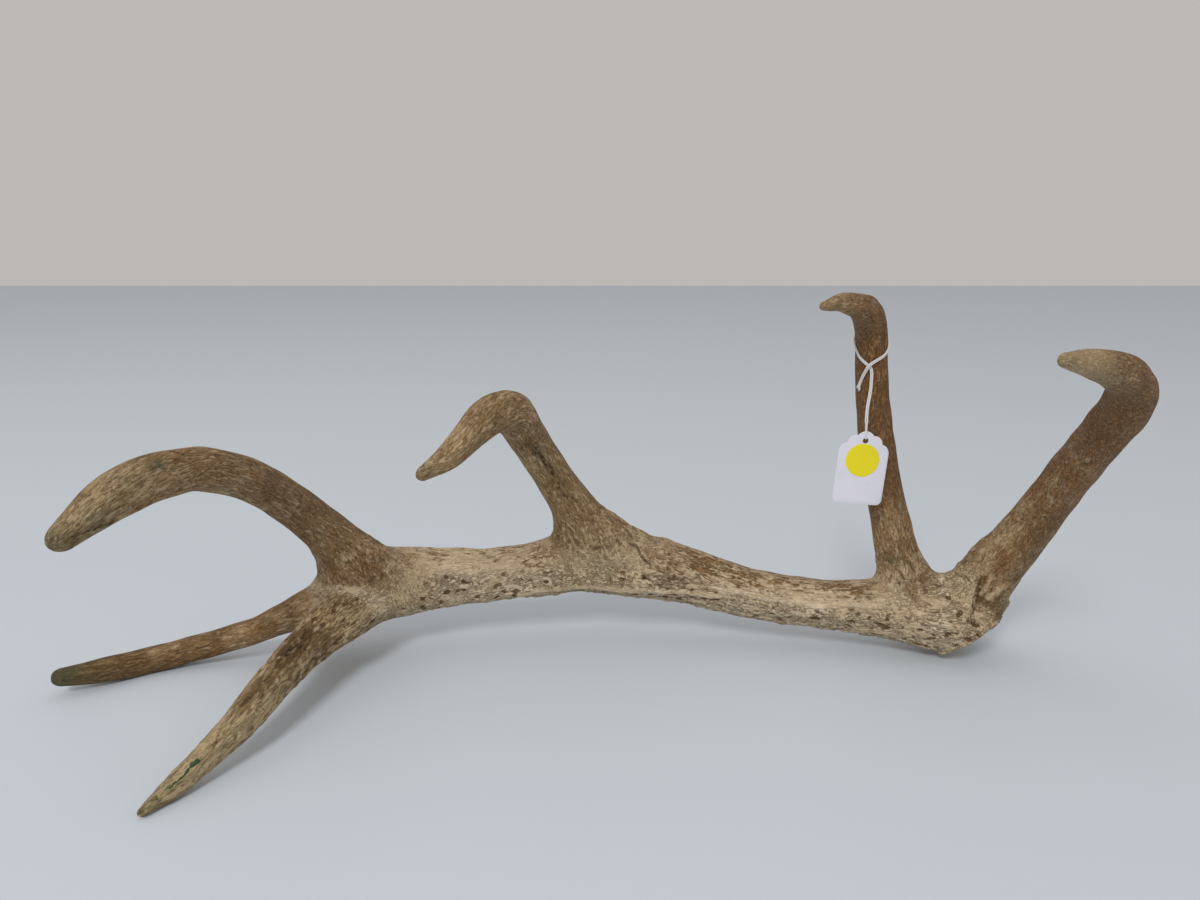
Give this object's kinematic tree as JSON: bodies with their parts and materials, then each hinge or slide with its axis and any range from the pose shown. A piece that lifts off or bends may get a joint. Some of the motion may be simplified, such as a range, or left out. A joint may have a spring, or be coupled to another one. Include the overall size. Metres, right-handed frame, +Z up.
{
  "type": "deer antler",
  "caption": "Deer antler lying on its burr and crown tines, with curved tines along a bent beam and a bare price card tied to one tine by a cotton string.",
  "frame": {"origin": "on the surface the antler rests on, under the middle of the antler's box, without the card and its string", "axes": "+X along the antler from the crown to the burr, -Y the side the tines hook to, +Z up"},
  "size_m": [0.5718, 0.2085, 0.2226],
  "materials": {
    "antler": "matte",
    "card": "matte",
    "sticker": "matte",
    "cotton": "matte"
  },
  "bodies": {
    "root": {"lower_beam": "antler", "middle_beam": "antler", "upper_beam": "antler", "brow_tine": "antler", "bez_tine": "antler", "trez_tine": "antler", "crown_top_tine": "antler", "crown_back_tine": "antler", "crown_front_tine": "antler", "price_tag": "card", "tag_sticker": "sticker", "tag_string": "cotton"}
  },
  "joints": []
}
